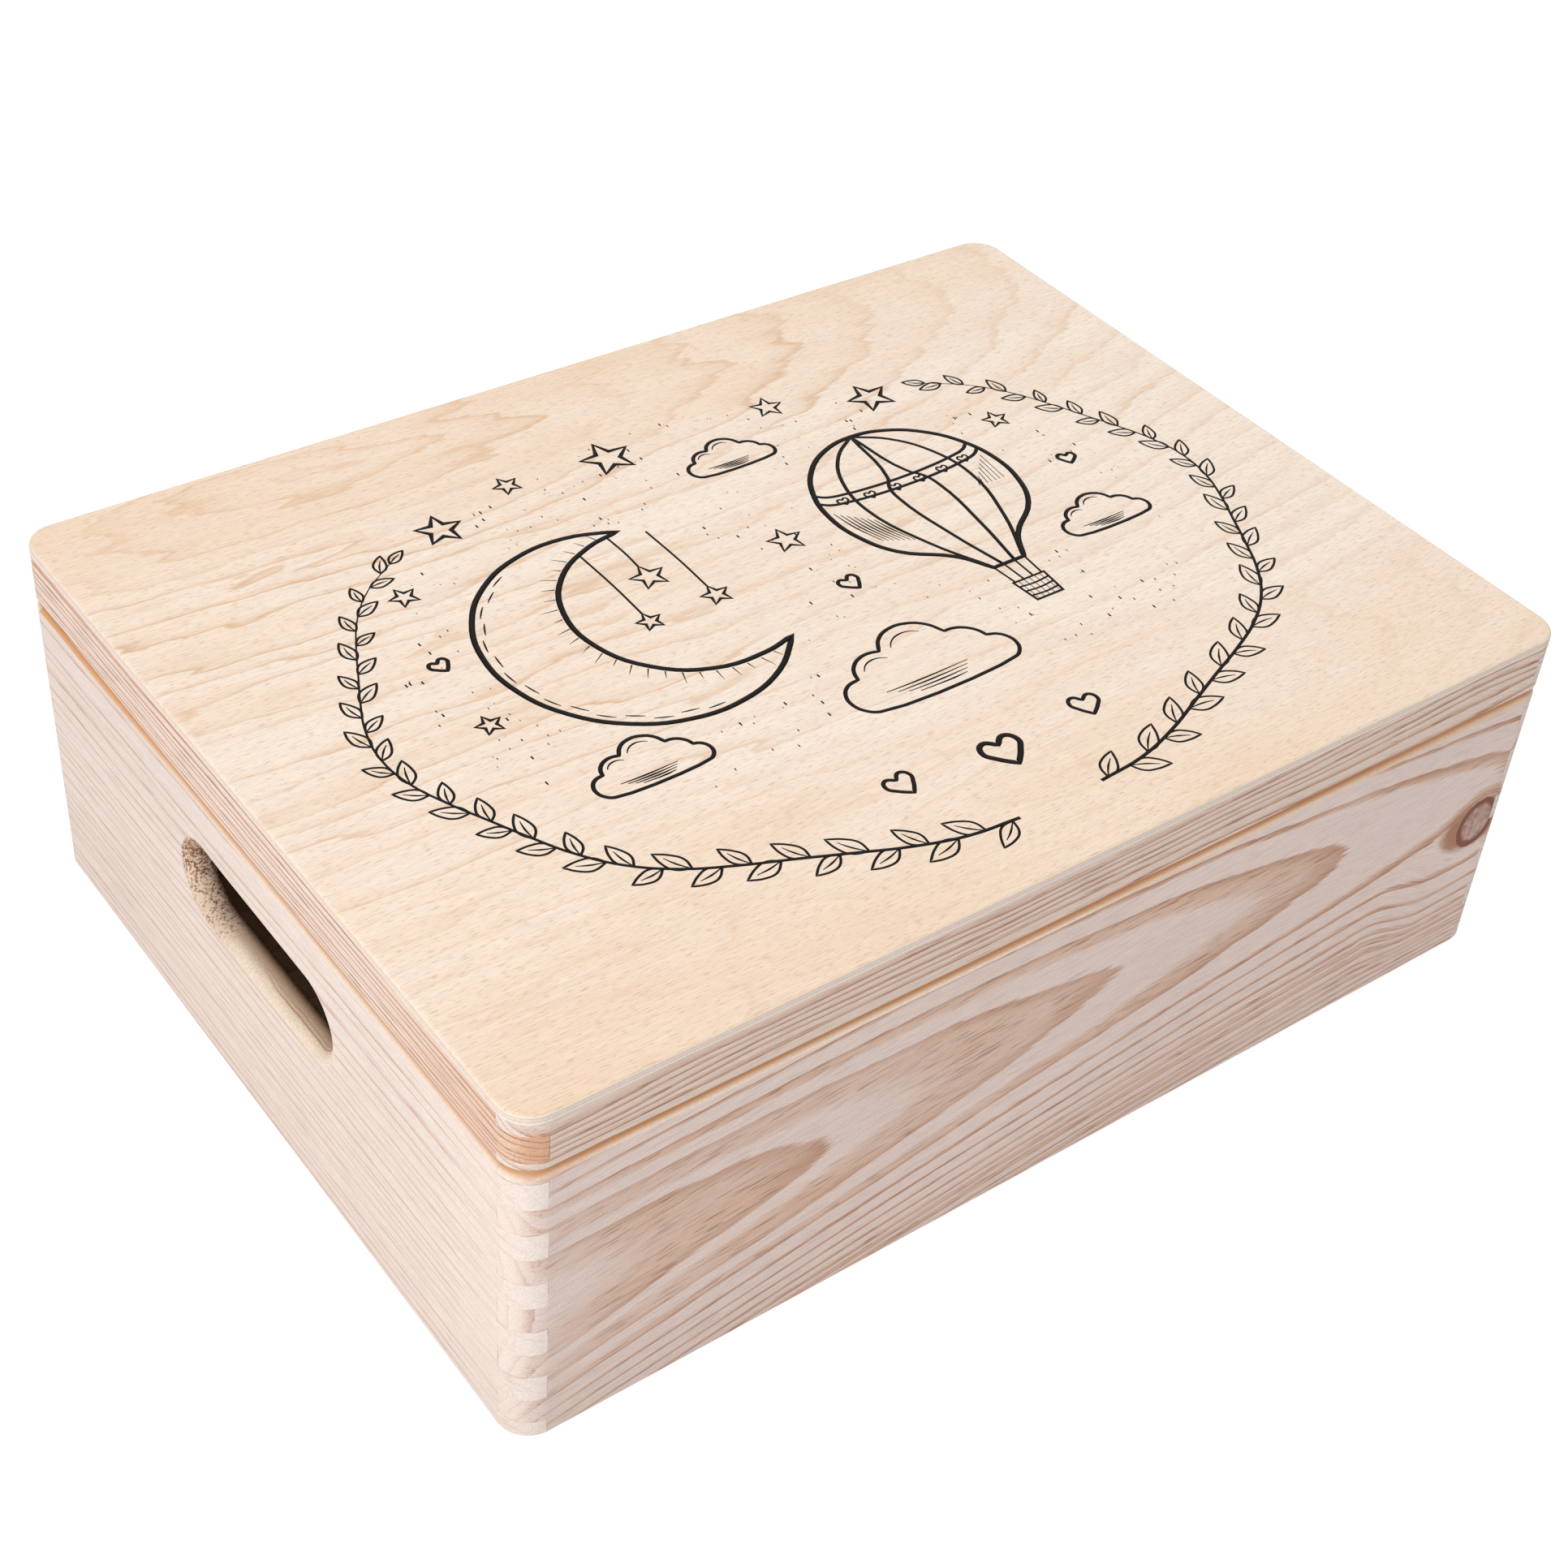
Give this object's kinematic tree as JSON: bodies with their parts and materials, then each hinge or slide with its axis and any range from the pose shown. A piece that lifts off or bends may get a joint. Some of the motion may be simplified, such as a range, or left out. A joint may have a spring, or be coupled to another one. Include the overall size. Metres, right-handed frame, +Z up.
{
  "type": "keepsake box",
  "caption": "Shallow hinged wooden keepsake box with finger-jointed corners, a flat lid panel, a bevelled rim and a hand slot in each end.",
  "frame": {"origin": "middle of the underside, where the box stands", "axes": "+X along the length, the hinges on the +Y side and the front on the -Y side, +Z up"},
  "size_m": [0.398, 0.3, 0.133],
  "materials": {
    "pine_board": "matte",
    "lid_panel": "matte",
    "floor_panel": "matte",
    "hinge_metal": "satin",
    "print_ink": "matte"
  },
  "bodies": {
    "base": {"front_wall": "pine_board", "back_wall": "pine_board", "left_wall": "pine_board", "right_wall": "pine_board", "bottom_panel": "floor_panel", "left_hinge_base_leaf": "hinge_metal", "right_hinge_base_leaf": "hinge_metal", "left_hinge_pin": "hinge_metal", "right_hinge_pin": "hinge_metal", "base_hinge_screws": "hinge_metal"},
    "lid": {"lid_front_rail": "pine_board", "lid_back_rail": "pine_board", "lid_left_rail": "pine_board", "lid_right_rail": "pine_board", "lid_panel": "lid_panel", "left_hinge_lid_leaf": "hinge_metal", "right_hinge_lid_leaf": "hinge_metal", "lid_hinge_screws": "hinge_metal"}
  },
  "joints": [
    {"name": "lid_hinge", "type": "hinge", "parent": "base", "child": "lid", "pos_m": [0, 0.148, 0.11265], "axis": [-1, 0, 0], "range_deg": [0, 97]}
  ]
}
